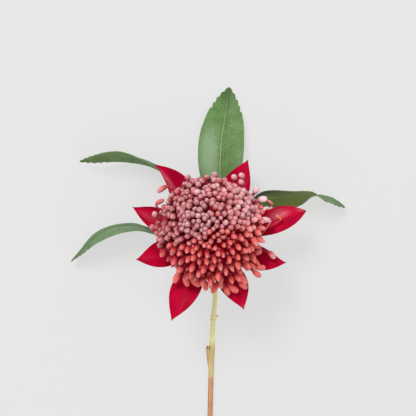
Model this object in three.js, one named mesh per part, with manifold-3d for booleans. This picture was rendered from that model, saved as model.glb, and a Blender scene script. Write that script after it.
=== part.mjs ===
// A cut waratah laid on its back, in millimetres, +Z up.
// X runs across the flower, +Y from the cut end of the stem to the top leaf, and the head looks up,
// leaning a little toward +Y. Stem, leaf margins and a leaf tip touch the surface at Z = 0.
import * as THREE from "three";
import { mergeVertices } from "three/addons/utils/BufferGeometryUtils.js";
import Module from "manifold-3d";

const wasm = await Module();
wasm.setup();

const CLEARANCE = 0.3; // between pieces that touch
const UP = new THREE.Vector3(0, 0, 1);
const degrees = THREE.MathUtils.degToRad;
const lerp = THREE.MathUtils.lerp;
const ramp = THREE.MathUtils.smoothstep;
const vec = (x, y, z) => new THREE.Vector3(x, y, z);

// The head's own frame: its axis leans from straight up toward +Y, and its origin is the middle of
// the ring of bracts.
const HEAD_LEAN = degrees(22);
const HEAD_HEIGHT = 40;
const HEAD_AXIS = vec(0, Math.sin(HEAD_LEAN), Math.cos(HEAD_LEAN));
const HEAD_UPWARD = vec(0, Math.cos(HEAD_LEAN), -Math.sin(HEAD_LEAN));
const inHead = (u, v, w) =>
  vec(u, 0, HEAD_HEIGHT).addScaledVector(HEAD_UPWARD, v).addScaledVector(HEAD_AXIS, w);

// A closed geometry as a solid, and a solid as a geometry.
function toSolid(geometry) {
  const bare = new THREE.BufferGeometry();
  bare.setAttribute("position", geometry.getAttribute("position").clone());
  if (geometry.index) bare.setIndex(geometry.index.clone());
  const merged = mergeVertices(bare, 1e-4);
  const mesh = new wasm.Mesh({
    numProp: 3,
    vertProperties: new Float32Array(merged.attributes.position.array),
    triVerts: new Uint32Array(merged.index.array),
  });
  return new wasm.Manifold(mesh);
}

function toGeometry(solid) {
  const mesh = solid.getMesh();
  const geometry = new THREE.BufferGeometry();
  geometry.setAttribute("position", new THREE.BufferAttribute(mesh.vertProperties, 3));
  geometry.setIndex(new THREE.BufferAttribute(mesh.triVerts, 1));
  geometry.computeVertexNormals();
  return geometry;
}

// The largest body of a solid: it drops loose scraps and fills sealed pockets.
function mainBody(solid) {
  const bodies = solid.decompose();
  return bodies.reduce((best, body) => (body.volume() > best.volume() ? body : best));
}

function geometryOf(position, index) {
  const geometry = new THREE.BufferGeometry();
  geometry.setAttribute("position", new THREE.Float32BufferAttribute(position, 3));
  geometry.setIndex(index);
  return geometry;
}

// A tube of rings with a flat cap at each end. A ring is { at, along, radius }, and the last one
// may be a single point, with radius 0.
function ringTube(rings, sides, reference) {
  const position = [];
  const index = [];
  for (const { at, along, radius } of rings) {
    const right = reference.clone().cross(along).normalize();
    const over = along.clone().cross(right).normalize();
    for (let k = 0; k < (radius > 0 ? sides : 1); k++) {
      const angle = ((k + 0.5) / sides) * 2 * Math.PI;
      const point = at.clone();
      point.addScaledVector(right, radius * Math.cos(angle));
      point.addScaledVector(over, radius * Math.sin(angle));
      position.push(...point);
    }
  }
  const bands = rings.length - 1;
  for (let i = 0; i < bands; i++) {
    for (let k = 0; k < sides; k++) {
      const [a, b] = [i * sides + k, i * sides + ((k + 1) % sides)];
      if (rings[i + 1].radius > 0) {
        index.push(a, b, b + sides, a, b + sides, a + sides);
      } else {
        index.push(a, b, (i + 1) * sides);
      }
    }
  }
  for (let k = 1; k < sides - 1; k++) {
    index.push(0, k + 1, k);
    if (rings[bands].radius > 0) {
      index.push(bands * sides, bands * sides + k, bands * sides + k + 1);
    }
  }
  return geometryOf(position, index);
}

// A thin closed sheet. surface(t, s) gives the middle of the sheet, t running from base to tip and
// s from edge to edge, and thickness(t, s) its thickness. Both faces are split along the same lines.
function closedSheet(surface, rows, columns, thickness) {
  const STEP = 1e-3;
  const position = [];
  const index = [];
  const count = rows.length * columns.length;
  for (const side of [1, -1]) {
    for (const t of rows) {
      for (const s of columns) {
        const ahead = Math.min(t + STEP, 1);
        const lengthwise = surface(ahead, s).sub(surface(ahead - 2 * STEP, s));
        const crosswise = surface(t, s + STEP).sub(surface(t, s - STEP));
        const normal = lengthwise.cross(crosswise).normalize();
        position.push(...surface(t, s).addScaledVector(normal, (side * thickness(t, s)) / 2));
      }
    }
  }
  const across = columns.length;
  const last = rows.length - 1;
  for (let i = 0; i < last; i++) {
    for (let j = 0; j < across - 1; j++) {
      const a = i * across + j;
      const [b, c, d] = [a + 1, a + across, a + across + 1];
      index.push(a, d, b, a, c, d);
      index.push(count + a, count + b, count + d, count + a, count + d, count + c);
    }
  }
  const rim = [];
  for (let j = 0; j < across - 1; j++) rim.push(j);
  for (let i = 0; i < last; i++) rim.push(i * across + across - 1);
  for (let j = across - 1; j > 0; j--) rim.push(last * across + j);
  for (let i = last; i > 0; i--) rim.push(i * across);
  rim.forEach((a, k) => {
    const b = rim[(k + 1) % rim.length];
    index.push(a, b, count + b, a, count + b, count + a);
  });
  return geometryOf(position, index);
}

// The surface of a blade on a midrib. roll(t) turns it about the midrib from lying square to
// "upright"; halfWidth(t) is its reach to either side, lift(t, s) its height off the flat as a
// share of that, and margin(t) what a notch takes from its edges.
function bladeSurface({ midrib, upright, roll, halfWidth, lift, margin = () => 0 }) {
  return (t, s) => {
    const along = midrib.getTangentAt(THREE.MathUtils.clamp(t, 0, 1));
    const level = upright.clone().cross(along).normalize();
    const normal = along.clone().cross(level);
    const turn = roll(t);
    const side = level.clone().multiplyScalar(Math.cos(turn));
    side.addScaledVector(normal, Math.sin(turn));
    normal.multiplyScalar(Math.cos(turn)).addScaledVector(level, -Math.sin(turn));
    const reach = halfWidth(t);
    const notched = Math.sign(s) * margin(t) * ramp(Math.abs(s), 0.6, 1);
    const point = midrib.getPointAt(THREE.MathUtils.clamp(t, 0, 1));
    return point.addScaledVector(side, s * reach - notched).addScaledVector(normal, lift(t, s) * reach);
  };
}

// A value that passes through evenly spaced stops.
function through(stops) {
  return (t) => {
    const place = THREE.MathUtils.clamp(t, 0, 1) * (stops.length - 1);
    const i = Math.min(Math.floor(place), stops.length - 2);
    return lerp(stops[i], stops[i + 1], ramp(place - i, 0, 1));
  };
}

// Stem: from the cut end along the surface, through the bent neck, to the cup under the head.
const STEM_RADIUS = 2.1;
const STEM_SIDES = 10;
const CUT_END = -208;
const CUP_RADIUS = 9;
const CUP_TOP = 0.2;
const CUP_DEPTH = 9;
const FLARE = 9;
const NECK_END_Y = -47;
const NODE_RING_Y = -67;
const SHEATH_Y = -93;

function neckPoint(share) {
  // share 0 is where the neck leaves the surface, 1 is under the cup
  const turn = lerp(Math.PI / 2, HEAD_LEAN, share);
  const top = inHead(0, 0, -CUP_DEPTH);
  const radius = (top.z - STEM_RADIUS) / (1 - Math.sin(HEAD_LEAN));
  return vec(
    4.4 * (1 - share) ** 1.5,
    top.y - radius * (Math.cos(HEAD_LEAN) - Math.cos(turn)),
    STEM_RADIUS + radius * (1 - Math.sin(turn)),
  );
}

function stemPath() {
  const lying = [
    [-1.4, CUT_END],
    [-1.2, -180],
    [0, -148],
    [0.7, -120],
    [1.6, -91],
    [2.7, -68],
  ].map(([x, y]) => vec(x, y, STEM_RADIUS));
  const neck = [0, 0.2, 0.4, 0.6, 0.8, 1].map(neckPoint);
  const cup = [inHead(0, 0, -CUP_DEPTH / 2), inHead(0, 0, CUP_TOP)];
  return new THREE.CatmullRomCurve3([...lying, ...neck, ...cup], false, "centripetal");
}

function stemRadius(distanceToTop, y) {
  const flare = (CUP_RADIUS - STEM_RADIUS) * (1 - ramp(distanceToTop, CUP_DEPTH - 1, CUP_DEPTH + FLARE));
  const ring = 0.5 * Math.exp(-(((y - NODE_RING_Y) / 1.8) ** 2));
  const swelling = 0.35 * Math.exp(-(((y - SHEATH_Y) / 6) ** 2));
  return STEM_RADIUS + flare + ring + swelling;
}

function stemTube(growth) {
  const path = stemPath();
  const length = path.getLength();
  const steps = 38;
  const rings = [];
  for (let i = 0; i <= steps; i++) {
    const share = i / steps;
    const at = path.getPointAt(share);
    const radius = stemRadius(length * (1 - share), at.y) + growth;
    if (at.y < NECK_END_Y) at.z = radius * Math.cos(Math.PI / STEM_SIDES);
    rings.push({ at, along: path.getTangentAt(share), radius });
  }
  return toSolid(ringTube(rings, STEM_SIDES, vec(1, 0, 0)));
}

// A small bud on the node ring, and the blunt foot of a lost leaf lower down.
function stemStub(foot, tip, radius) {
  const along = tip.clone().sub(foot);
  const rings = [[0, 1.1], [0.8, 1], [0.96, 0.7]].map(([share, size]) => ({
    at: foot.clone().addScaledVector(along, share), along, radius: radius * size,
  }));
  rings.push({ at: tip, along, radius: 0 });
  return toSolid(ringTube(rings, 8, vec(0, 0, 1)));
}

function makeStem() {
  const bud = stemStub(
    vec(3.2, NODE_RING_Y - 1.4, STEM_RADIUS), vec(6.8, NODE_RING_Y + 1.6, STEM_RADIUS + 0.4), 1.3);
  const lostLeaf = stemStub(
    vec(0.9, SHEATH_Y - 20, STEM_RADIUS), vec(-2.1, SHEATH_Y + 2.6, STEM_RADIUS + 0.2), 1.7);
  return wasm.Manifold.union([stemTube(0), bud, lostLeaf]);
}

// Leaves: obovate blades on short stalks, toothed near the tip. Points run from the neck to the
// tip; the blade is let down until its lowest margin touches the surface.
const LEAF_THICKNESS = 0.7;
const MIDRIB_EXTRA = 0.5;
const LEAF_STALK_HALF = 1.5;
const LEAF_STALK_THICKNESS = 2.4;
const TOOTH_PITCH = 5;
const TOOTH_DEPTH = 1.7;
const LEAVES = [
  {
    name: "leaf_top",
    points: [
      [0.6, -9, 21.5], [1.6, 4, 15.5], [3.8, 18, 11], [6.4, 34, 8.5], [7.8, 47, 7.6], [8.4, 65, 7.4],
      [9.3, 79, 7.2], [11, 90, 6], [12.6, 101, 4.2], [14.2, 112, 2.6], [16, 123.2, 1.4],
    ],
    halfWidth: 19.2,
    stalk: 0.16,
    teeth: 4,
    roll: [0, 0, 5, 5, 3, 0],
    fold: 0.16,
    wave: 0.03,
    settles: 0.8,
  },
  {
    name: "leaf_upper_left",
    points: [
      [0, -12, 17.5], [-6, 4, 12], [-12, 20, 9.5], [-22, 37, 9], [-34.5, 51, 10], [-46.4, 59, 11],
      [-56, 63, 12], [-65, 65, 12.5], [-75, 66, 12.5], [-85, 65.6, 12], [-95.5, 63.8, 10],
      [-107, 61.4, 7],
    ],
    halfWidth: 13,
    stalk: 0.28,
    teeth: 4,
    roll: [-30, -62, -82, -85, -70, -60],
    fold: 0.1,
    wave: 0.04,
    settles: 0.5,
  },
  {
    name: "leaf_lower_left",
    points: [
      [0.5, -20, 11], [-11, -14.5, 12], [-24, -5.5, 13.5], [-38, 2.6, 14.5], [-50.5, 6.8, 15],
      [-57, 8.4, 15.2], [-65, 9.1, 15], [-73.5, 8.8, 14.5], [-81.6, 6.7, 13.5], [-90, 2.1, 12.5],
      [-99.8, -5, 10.5], [-107.3, -12.8, 8], [-114.2, -20.6, 6],
    ],
    halfWidth: 15,
    stalk: 0.16,
    teeth: 4,
    roll: [-90, -92, -96, -105, -109, -104],
    fold: 0.12,
    wave: 0.04,
    settles: 0.5,
  },
  {
    name: "leaf_right",
    points: [
      [0.8, -16, 14], [9, -5, 11.5], [18, 7, 10], [29, 20, 10.5], [41, 30.4, 13], [53, 32.2, 15],
      [63.5, 32.7, 15.6], [73.4, 33.2, 15], [81.6, 34, 14], [87.4, 33.6, 13], [93, 32.8, 12],
      [99.4, 31.2, 10.5], [105.2, 28, 8.5], [111, 23.8, 6.5],
    ],
    halfWidth: 15.5,
    stalk: 0.18,
    teeth: 4,
    roll: [40, 62, 66, 65, 61, 66, 105, 116],
    fold: 0.14,
    wave: 0.05,
    settles: 0.45,
  },
];

// Share of the greatest width at a share of the blade's length, measured from the tip.
function leafOutline(fromTip) {
  const [near, far] = [0.75, 0.88];
  const peakAt = near / (near + far);
  const shape = (q) => q ** near * (1 - q) ** far;
  return shape(THREE.MathUtils.clamp(fromTip, 1e-4, 1)) / shape(peakAt);
}

function leafGeometry(leaf, drop) {
  const points = leaf.points.map(([x, y, z], i) =>
    vec(x, y, z - drop * ramp(i / (leaf.points.length - 1), 0.15, leaf.settles)));
  const midrib = new THREE.CatmullRomCurve3(points, false, "centripetal");
  const length = midrib.getLength();
  const roll = through(leaf.roll);
  const notched = leaf.teeth * TOOTH_PITCH;
  const halfWidth = (t) => {
    const plain = leaf.halfWidth * leafOutline((1 - t) / (1 - leaf.stalk));
    return Math.max(plain, t < leaf.stalk * 1.6 ? LEAF_STALK_HALF : 0.3);
  };
  // each tooth points to the tip: the margin runs out to it, then steps in
  const notch = (t) => {
    const fromTip = (1 - t) * length;
    if (fromTip > notched) return 0;
    return TOOTH_DEPTH * ((fromTip / TOOTH_PITCH) % 1) * ramp(fromTip, 0, TOOTH_PITCH);
  };
  const surface = bladeSurface({
    midrib,
    upright: UP,
    roll: (t) => degrees(roll(t)),
    halfWidth,
    margin: notch,
    lift: (t, s) =>
      (leaf.fold * Math.abs(s) + leaf.wave * s * s * Math.sin(7 * Math.PI * t)) *
      ramp(t, leaf.stalk * 0.8, leaf.stalk * 1.8),
  });
  const rows = [];
  const plainRows = 13;
  const teethFrom = 1 - notched / length;
  for (let i = 0; i < plainRows; i++) rows.push((i / plainRows) * teethFrom);
  for (let k = leaf.teeth; k > 0; k--) {
    rows.push(1 - (k * TOOTH_PITCH) / length - 1e-4);
    rows.push(1 - (k * TOOTH_PITCH - 0.7) / length);
  }
  rows.push(1 - 1.6 / length, 1);
  const thickness = (t, s) => {
    const blade = LEAF_THICKNESS + (s === 0 ? MIDRIB_EXTRA : 0);
    return lerp(LEAF_STALK_THICKNESS, blade, ramp(t, leaf.stalk * 0.7, leaf.stalk * 1.5));
  };
  return closedSheet(surface, rows, [-1, -0.55, 0, 0.55, 1], thickness);
}

function makeLeaf(leaf, neck) {
  let drop = 0;
  let geometry;
  for (let i = 0; i < 4; i++) {
    geometry = leafGeometry(leaf, drop);
    geometry.computeBoundingBox();
    drop += geometry.boundingBox.min.z;
  }
  return mainBody(toSolid(geometry).subtract(neck));
}

// Bracts: eight crimson blades in two layers round the cup. azimuth is in the plane of the ring,
// reach and lift place the tip from the middle of the ring, half is the half width, sway bends the
// blade sideways, and point is how far its tip is drawn out.
const BRACT_THICKNESS = 0.8;
const BRACT_ROOT = 7;
const BRACT_LAYERS = [-3.2, -7];
const BRACT_POINT = 1.4;
const BRACTS = [
  { name: "bract_upper_left", layer: 0, azimuth: 128, reach: 75, half: 10.6, lift: 14, sway: -7, point: 1.7 },
  { name: "bract_top_right", layer: 1, azimuth: 65, reach: 73.5, half: 12.5, lift: 8, sway: 0 },
  {
    name: "bract_right_upper", layer: 0, azimuth: 16, reach: 80.5, half: 11.2, lift: 3, sway: -0.6,
    point: 1.05,
  },
  { name: "bract_right_lower", layer: 1, azimuth: -18, reach: 64, half: 10.5, lift: 0, sway: -3.5 },
  { name: "bract_bottom_right", layer: 0, azimuth: -65.5, reach: 64.5, half: 12, lift: -6, sway: 1 },
  { name: "bract_bottom_left", layer: 1, azimuth: -115, reach: 73, half: 12, lift: -8, sway: 0 },
  { name: "bract_left_lower", layer: 0, azimuth: -162.5, reach: 62, half: 12, lift: 0, sway: 2 },
  { name: "bract_left_upper", layer: 1, azimuth: 156.5, reach: 68.5, half: 10.5, lift: 2, sway: 1 },
];

// Share of the greatest width at a share of the blade's length, measured from the root. The higher
// the point, the longer the drawn-out tip.
function bractOutline(t, tip) {
  const [root, out] = [0.5, 3.4];
  const peakAt = (out - tip * root) / (out + tip);
  const shape = (q) => (q + root) ** out * (1 - q) ** tip;
  return shape(Math.min(t, 0.9999)) / shape(peakAt);
}

function makeBract(bract, cup) {
  const turn = degrees(bract.azimuth);
  const place = (r, w, sway) =>
    inHead(r * Math.cos(turn) - sway * Math.sin(turn), r * Math.sin(turn) + sway * Math.cos(turn), w);
  const low = BRACT_LAYERS[bract.layer];
  const midrib = new THREE.CatmullRomCurve3([
    place(BRACT_ROOT, low, 0),
    place(20, low - 0.4, 0.1 * bract.sway),
    place(34, low - 0.3, 0.5 * bract.sway),
    place(lerp(34, bract.reach, 0.36), low + 1 + 0.1 * bract.lift, bract.sway),
    place(lerp(34, bract.reach, 0.72), low + 2 + 0.55 * bract.lift, 0.7 * bract.sway),
    place(bract.reach, low + 2 + bract.lift, 0),
  ]);
  const surface = bladeSurface({
    midrib,
    upright: HEAD_AXIS,
    roll: () => 0,
    halfWidth: (t) => Math.max(bract.half * bractOutline(t, bract.point ?? BRACT_POINT), 0.3),
    lift: (t, s) => 0.2 * s * s * ramp(t, 0.4, 0.8),
  });
  const rows = [0, 0.14, 0.28, 0.42, 0.54, 0.65, 0.75, 0.84, 0.92, 0.97, 1];
  const sheet = closedSheet(surface, rows, [-1, -0.5, 0, 0.5, 1], () => BRACT_THICKNESS);
  return mainBody(toSolid(sheet).subtract(cup));
}

// Head: florets spread evenly over a dome, small and tight round its tip. The upper part is frosted
// pink, the lower part coral, each rooted in its own half of the core.
const FLORETS = 188;
const FLORET_TRIES = 50;
const DOME = { right: 39.5, up: 43, axial: 35, height: 6.5 };
const DOME_EDGE = degrees(88);
const DOME_TIP = vec(-0.03, -0.27, 0.96).normalize();
const CORE = { radius: 34, axial: 28.5, floor: 0.5 };
const FLORET_SIDES = 5;
const FLORET_GROWTH = 1.1; // the florets here are fewer than the real ones and so a little larger
const STALK_RADIUS = 0.7;
const STRAY_ROOM = 5;
const FLORET_ROOM = 0.6; // left round each frosted floret by the coral ones
const PARTING = vec(0.24, -0.97, 0.09).normalize();
const FLORET_LEAN = vec(0, -0.5, 0.5);
const DOME_CENTRE = inHead(0, 0, DOME.height);

// Florets that stand out of the rim, each as the places of its neck and its tip, with the bend of its
// stalk first where it is curled.
const STRAYS = [
  { radius: 2.2, points: [[-28, 37.3, 38], [-33.7, 40.5, 37], [-42.5, 36.1, 36]] },
  { radius: 1.9, points: [[-39.2, 18.9, 40], [-43.2, 24.9, 40], [-36.8, 30.2, 43]] },
  { radius: 2.6, points: [[-41.4, 16.1, 44], [-45.3, 19.7, 47]] },
  { radius: 2.6, points: [[-43, 5, 45], [-47.3, 9.4, 47]] },
  { radius: 2.7, points: [[-39, 4.2, 46], [-44.2, 2.6, 47]] },
  { radius: 2.5, points: [[-16.5, 43.4, 34], [-18.4, 49.9, 37]] },
  { radius: 2.6, points: [[3.6, 45, 32], [3.8, 52, 35]] },
  { radius: 2.5, points: [[20.9, 43.4, 36], [18.4, 49.7, 40]] },
  { radius: 2.6, points: [[27.6, 44.1, 38], [23.6, 51.3, 41]] },
  { radius: 2.6, points: [[25.6, 40.1, 42], [23.9, 46.8, 45]] },
  { radius: 2.5, points: [[34.7, 34.5, 42], [38.1, 39.9, 45]] },
  { radius: 2.5, points: [[37.8, 29.3, 47], [45.3, 30.8, 49]] },
  { radius: 1.2, points: [[44.5, 20.5, 44], [49.7, 25.3, 45], [45.7, 29.7, 47]] },
  { radius: 2.2, points: [[38.9, 18.5, 45], [42.5, 21.3, 47]] },
  { radius: 2.2, points: [[46.5, 5, 46], [48.1, 11.8, 47], [40.5, 14.7, 49]] },
  { radius: 1.6, points: [[53.5, 9.5, 38], [56.9, 13.3, 38], [52.5, 17.7, 40]] },
  { radius: 2.2, points: [[46, -11.2, 50], [51.6, -16.9, 50]] },
  { radius: 2.3, points: [[33.9, -12.2, 56], [41, -10.7, 56]] },
  { radius: 2.4, points: [[35.5, -22.9, 57], [43.8, -24.1, 57]] },
  { radius: 2.2, points: [[33.5, -26, 57], [40, -31.2, 57]] },
  { radius: 2.8, points: [[21.2, -26.2, 62], [28.7, -36.9, 60]] },
  { radius: 2.5, points: [[22.4, -34.2, 60], [29, -40.2, 58]] },
  { radius: 2.8, points: [[14.1, -36.5, 61], [22, -42.9, 60]] },
  { radius: 2.3, points: [[11.4, -37.7, 61], [14.9, -45.2, 60]] },
  { radius: 2.1, points: [[-0.2, -35.1, 61], [1.6, -44.2, 59]] },
  { radius: 2.4, points: [[-4, -33, 61], [-3.2, -41.8, 59]] },
  { radius: 2.5, points: [[-15.4, -29.8, 60], [-8.3, -38.6, 59]] },
  { radius: 2.4, points: [[-19.7, -29.5, 58], [-17.8, -38.7, 57]] },
  { radius: 2.5, points: [[-24.1, -27.2, 57], [-28.5, -36, 56]] },
];

// A repeatable draw between -1 and 1.
function draw(i, series) {
  const wild = Math.sin(i * 12.9898 + series * 78.233) * 43758.5453;
  return 2 * (wild - Math.floor(wild)) - 1;
}

// A place on the dome, and the radius, spacing and side of the florets round it. The direction is in
// the head's own frame.
function spotAt(direction, proud = 1) {
  const place = inHead(
    proud * DOME.right * direction.x, proud * DOME.up * direction.y,
    DOME.height + proud * DOME.axial * direction.z);
  const radial = inHead(...direction).sub(inHead(0, 0, 0));
  const towardCoral = radial.dot(PARTING);
  const grown = ramp(direction.angleTo(DOME_TIP), 0.12, 0.75);
  const lower = ramp(towardCoral, -0.05, 0.6);
  const radius = lerp(2.35, 2.85, grown);
  const pitch = lerp(3.8, lerp(4.8, 6.1, lower), grown);
  return { direction, place, radial, towardCoral, radius, pitch, coral: towardCoral > 0 };
}

// Where a stalk is rooted in the core, toward a place above it.
function rootToward(place) {
  const away = place.clone().sub(DOME_CENTRE);
  const [up, out] = [away.dot(HEAD_UPWARD), away.dot(HEAD_AXIS)];
  const reach = Math.hypot(away.x / CORE.radius, up / CORE.radius, out / CORE.axial) / 0.85;
  return inHead(away.x / reach, up / reach, Math.max(DOME.height + out / reach, CORE.floor + 4));
}

// Each new floret takes the roomiest of some trial places.
function spreadFlorets(taken) {
  const spots = [];
  let trial = 0;
  for (let i = 0; i < FLORETS; i++) {
    let best = { room: -1 };
    for (let k = 0; k < FLORET_TRIES; k++) {
      trial++;
      const out = lerp(Math.cos(DOME_EDGE), 1, (draw(trial, 1) + 1) / 2);
      const azimuth = Math.PI * draw(trial, 2);
      const across = Math.sqrt(1 - out * out);
      const spot = spotAt(vec(across * Math.cos(azimuth), across * Math.sin(azimuth), out));
      const rooms = taken.map((other) => spot.place.distanceTo(other.place) / (spot.pitch + other.pitch));
      spot.room = Math.min(...rooms);
      if (spot.room > best.room) best = spot;
    }
    taken.push(best);
    spots.push(best);
  }
  return spots;
}

function placeFlorets() {
  const strays = STRAYS.map(({ radius, points }) => {
    const bends = points.map((point) => vec(...point));
    const [neck, tip] = bends.slice(-2);
    const place = neck.clone().lerp(tip, 0.5);
    const aim = tip.clone().sub(neck);
    const coral = place.clone().sub(DOME_CENTRE).dot(PARTING) > 0;
    const pitch = STRAY_ROOM;
    return { root: rootToward(bends[0]), bends, place, aim, radius, length: aim.length(), coral, pitch };
  });
  const spread = spreadFlorets([...strays]).map(({ direction, radial, radius, coral, towardCoral }, i) => {
    const proud = 1 + 0.05 * draw(i, 4);
    const size = FLORET_GROWTH * radius * (1 + 0.07 * draw(i, 3));
    const stretch = coral ? lerp(1.12, 1.6, ramp(towardCoral, 0, 0.35)) : 1.12;
    const length = 2 * size * stretch;
    const aim = radial.clone().addScaledVector(FLORET_LEAN, ramp(1 - direction.z, 0.02, 0.3));
    aim.add(vec(draw(i, 5), draw(i, 6), draw(i, 7)).multiplyScalar(0.12)).normalize();
    const place = spotAt(direction, proud).place;
    return { root: rootToward(place), bends: [], place, aim, radius: size, length, coral };
  });
  return [...spread, ...strays.map((stray) => ({ ...stray, aim: stray.aim.normalize() }))];
}

// A floret narrows from its bud to a root in the core. A stray one goes there by way of its bends.
function floretSolid({ root, bends, place, aim, radius, length, coral }, growth) {
  const full = length + 2 * growth;
  const back = place.clone().addScaledVector(aim, -full / 2);
  const ring = (share, width) => ({
    at: back.clone().addScaledVector(aim, share * full),
    along: aim,
    radius: width * radius + growth,
  });
  const foot = root.clone().addScaledVector(aim, -growth);
  const rings = [{ at: foot, along: aim, radius: STALK_RADIUS + growth }];
  const way = [root, ...bends];
  for (let k = 1; k < way.length - 1; k++) {
    const along = way[k + 1].clone().sub(way[k - 1]).normalize();
    rings.push({ at: way[k], along, radius: Math.max(0.55 * radius, STALK_RADIUS) + growth });
  }
  rings.push(ring(0.42, 1), coral ? ring(0.76, 0.72) : ring(0.84, 0.74));
  rings.push({ at: back.clone().addScaledVector(aim, full), along: aim, radius: 0 });
  return toSolid(ringTube(rings, FLORET_SIDES, bends.length ? UP : vec(0.93, 0.31, 0.2)));
}

// The half of the core on one side of the parting, standing back from it by a gap. A negative gap
// gives the room that the other half leaves.
function coreHalf(sign, gap) {
  const growth = Math.max(-gap, 0) * 2;
  const floor = CORE.floor - growth;
  const profile = [new THREE.Vector2(0, floor), new THREE.Vector2(CORE.radius - 4 + growth, floor)];
  const steps = 9;
  for (let i = 0; i <= steps; i++) {
    const angle = ((i / steps) * Math.PI) / 2;
    const height = DOME.height + (CORE.axial + growth) * Math.sin(angle);
    profile.push(new THREE.Vector2(i === steps ? 0 : (CORE.radius + growth) * Math.cos(angle), height));
  }
  const dome = new THREE.LatheGeometry(profile, 20);
  dome.rotateX(Math.PI / 2 - HEAD_LEAN);
  dome.translate(0, 0, HEAD_HEIGHT);
  const normal = PARTING.clone().multiplyScalar(sign);
  return toSolid(dome).trimByPlane(normal.toArray(), sign * PARTING.dot(DOME_CENTRE) + gap);
}

function makeHeads() {
  const florets = placeFlorets();
  const frosted = florets.filter((floret) => !floret.coral);
  const coral = florets.filter((floret) => floret.coral);
  const join = (core, list, growth) =>
    wasm.Manifold.union([core, ...list.map((floret) => floretSolid(floret, growth))]);
  const upper = join(coreHalf(-1, CLEARANCE / 2), frosted, 0);
  const lower = join(coreHalf(1, CLEARANCE / 2), coral, 0);
  const room = join(coreHalf(-1, -CLEARANCE / 2), frosted, FLORET_ROOM);
  return { head_frosted: mainBody(upper), head_coral: mainBody(lower.subtract(room)) };
}

// Colours and finish of each kind of piece.
const finish = (color, roughness) => new THREE.MeshStandardMaterial({ color, roughness, metalness: 0 });
const LEAF_GREEN = finish(0x5f7f4c, 0.55);
const STEM_GREEN = finish(0xcfd0a0, 0.6);
const CRIMSON = finish(0xbc0a34, 0.7);
const FROSTED_PINK = finish(0xb87a80, 0.75);
const CORAL = finish(0xc94a50, 0.6);

const flower = new THREE.Group();
const add = (name, solid, material) => {
  const mesh = new THREE.Mesh(toGeometry(solid), material);
  mesh.name = name;
  flower.add(mesh);
};

const neckRoom = stemTube(CLEARANCE);
add("stem", makeStem(), STEM_GREEN);
for (const leaf of LEAVES) add(leaf.name, makeLeaf(leaf, neckRoom), LEAF_GREEN);
for (const bract of BRACTS) add(bract.name, makeBract(bract, neckRoom), CRIMSON);
const heads = makeHeads();
add("head_frosted", heads.head_frosted, FROSTED_PINK);
add("head_coral", heads.head_coral, CORAL);

// The origin is the middle of the underside of the whole flower's box.
const box = new THREE.Box3().setFromObject(flower);
const middle = box.getCenter(new THREE.Vector3());
flower.position.set(-middle.x, -middle.y, -box.min.z);

export default flower;
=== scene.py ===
"""A cut waratah that lies on its back on a pale table, modelled round its CAD frame.

Each piece is modelled in millimetres, first flat or straight and then bent along its own path, and is
brought to metres when it is set down. The sections follow the flower as it grew: stem, leaves, bracts,
and the head of florets.
"""
import math

import bmesh
import bpy
from mathutils import Matrix, Quaternion, Vector


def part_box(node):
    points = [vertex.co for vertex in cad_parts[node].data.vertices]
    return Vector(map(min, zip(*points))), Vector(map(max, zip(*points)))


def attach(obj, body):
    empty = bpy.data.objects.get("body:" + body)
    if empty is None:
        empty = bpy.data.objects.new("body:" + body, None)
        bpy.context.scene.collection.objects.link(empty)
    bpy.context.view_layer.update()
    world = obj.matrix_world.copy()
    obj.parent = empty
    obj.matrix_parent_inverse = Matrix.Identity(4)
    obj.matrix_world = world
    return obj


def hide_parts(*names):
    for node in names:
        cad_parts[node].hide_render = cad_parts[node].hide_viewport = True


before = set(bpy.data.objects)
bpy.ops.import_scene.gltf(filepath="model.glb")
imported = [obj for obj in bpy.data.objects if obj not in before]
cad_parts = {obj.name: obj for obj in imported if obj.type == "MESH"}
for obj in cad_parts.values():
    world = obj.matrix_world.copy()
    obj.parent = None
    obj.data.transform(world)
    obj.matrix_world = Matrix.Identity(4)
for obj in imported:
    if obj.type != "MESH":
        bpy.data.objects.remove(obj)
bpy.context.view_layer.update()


# The studio. A pale table that glows a little, so that the shadows on it stay faint, a wide soft light
# beyond the head, a weaker one at the stem's foot, and a camera that looks straight down from where the
# stem runs to the bottom of the picture.
CAMERA_PLACE = (0.00003, 0.06566, 1.288)
FOCAL_LENGTH = 135
TABLE_SIZE = 12
TABLE_GREY = (0.18, 0.18, 0.18, 1)
TABLE_GLOW = 0.6
WHITE = (1, 1, 1, 1)
LIGHTS = (
    {"place": (-1.1, 1.9, 2.6), "size": 1.3, "watts": 70},
    {"place": (1.2, -1.6, 2.4), "size": 2.6, "watts": 18},
)
SKY_STRENGTH = 0.55


def new_material(name, **sockets):
    """A material whose shader has the given values all over."""
    material = bpy.data.materials.new(name)
    material.use_nodes = True
    shader = material.node_tree.nodes["Principled BSDF"]
    for socket, value in sockets.items():
        shader.inputs[socket.replace("_", " ")].default_value = value
    return material


def paint(piece, *materials):
    for material in materials:
        piece.data.materials.append(material)


bpy.ops.mesh.primitive_plane_add(size=TABLE_SIZE)
table = bpy.context.object
table.name = "table"
paint(table, new_material(
    "pale_lit_table", Roughness=1, Specular_IOR_Level=0, Base_Color=TABLE_GREY,
    Emission_Color=WHITE, Emission_Strength=TABLE_GLOW))

for light in LIGHTS:
    bpy.ops.object.light_add(type="AREA", location=light["place"])
    lamp = bpy.context.object
    lamp.data.size = light["size"]
    lamp.data.energy = light["watts"]
    lamp.rotation_euler = Vector(light["place"]).to_track_quat("Z", "Y").to_euler()

world = bpy.data.worlds.new("soft_surroundings")
bpy.context.scene.world = world
world.use_nodes = True
sky = world.node_tree.nodes["Background"]
sky.inputs["Color"].default_value = WHITE
sky.inputs["Strength"].default_value = SKY_STRENGTH

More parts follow.
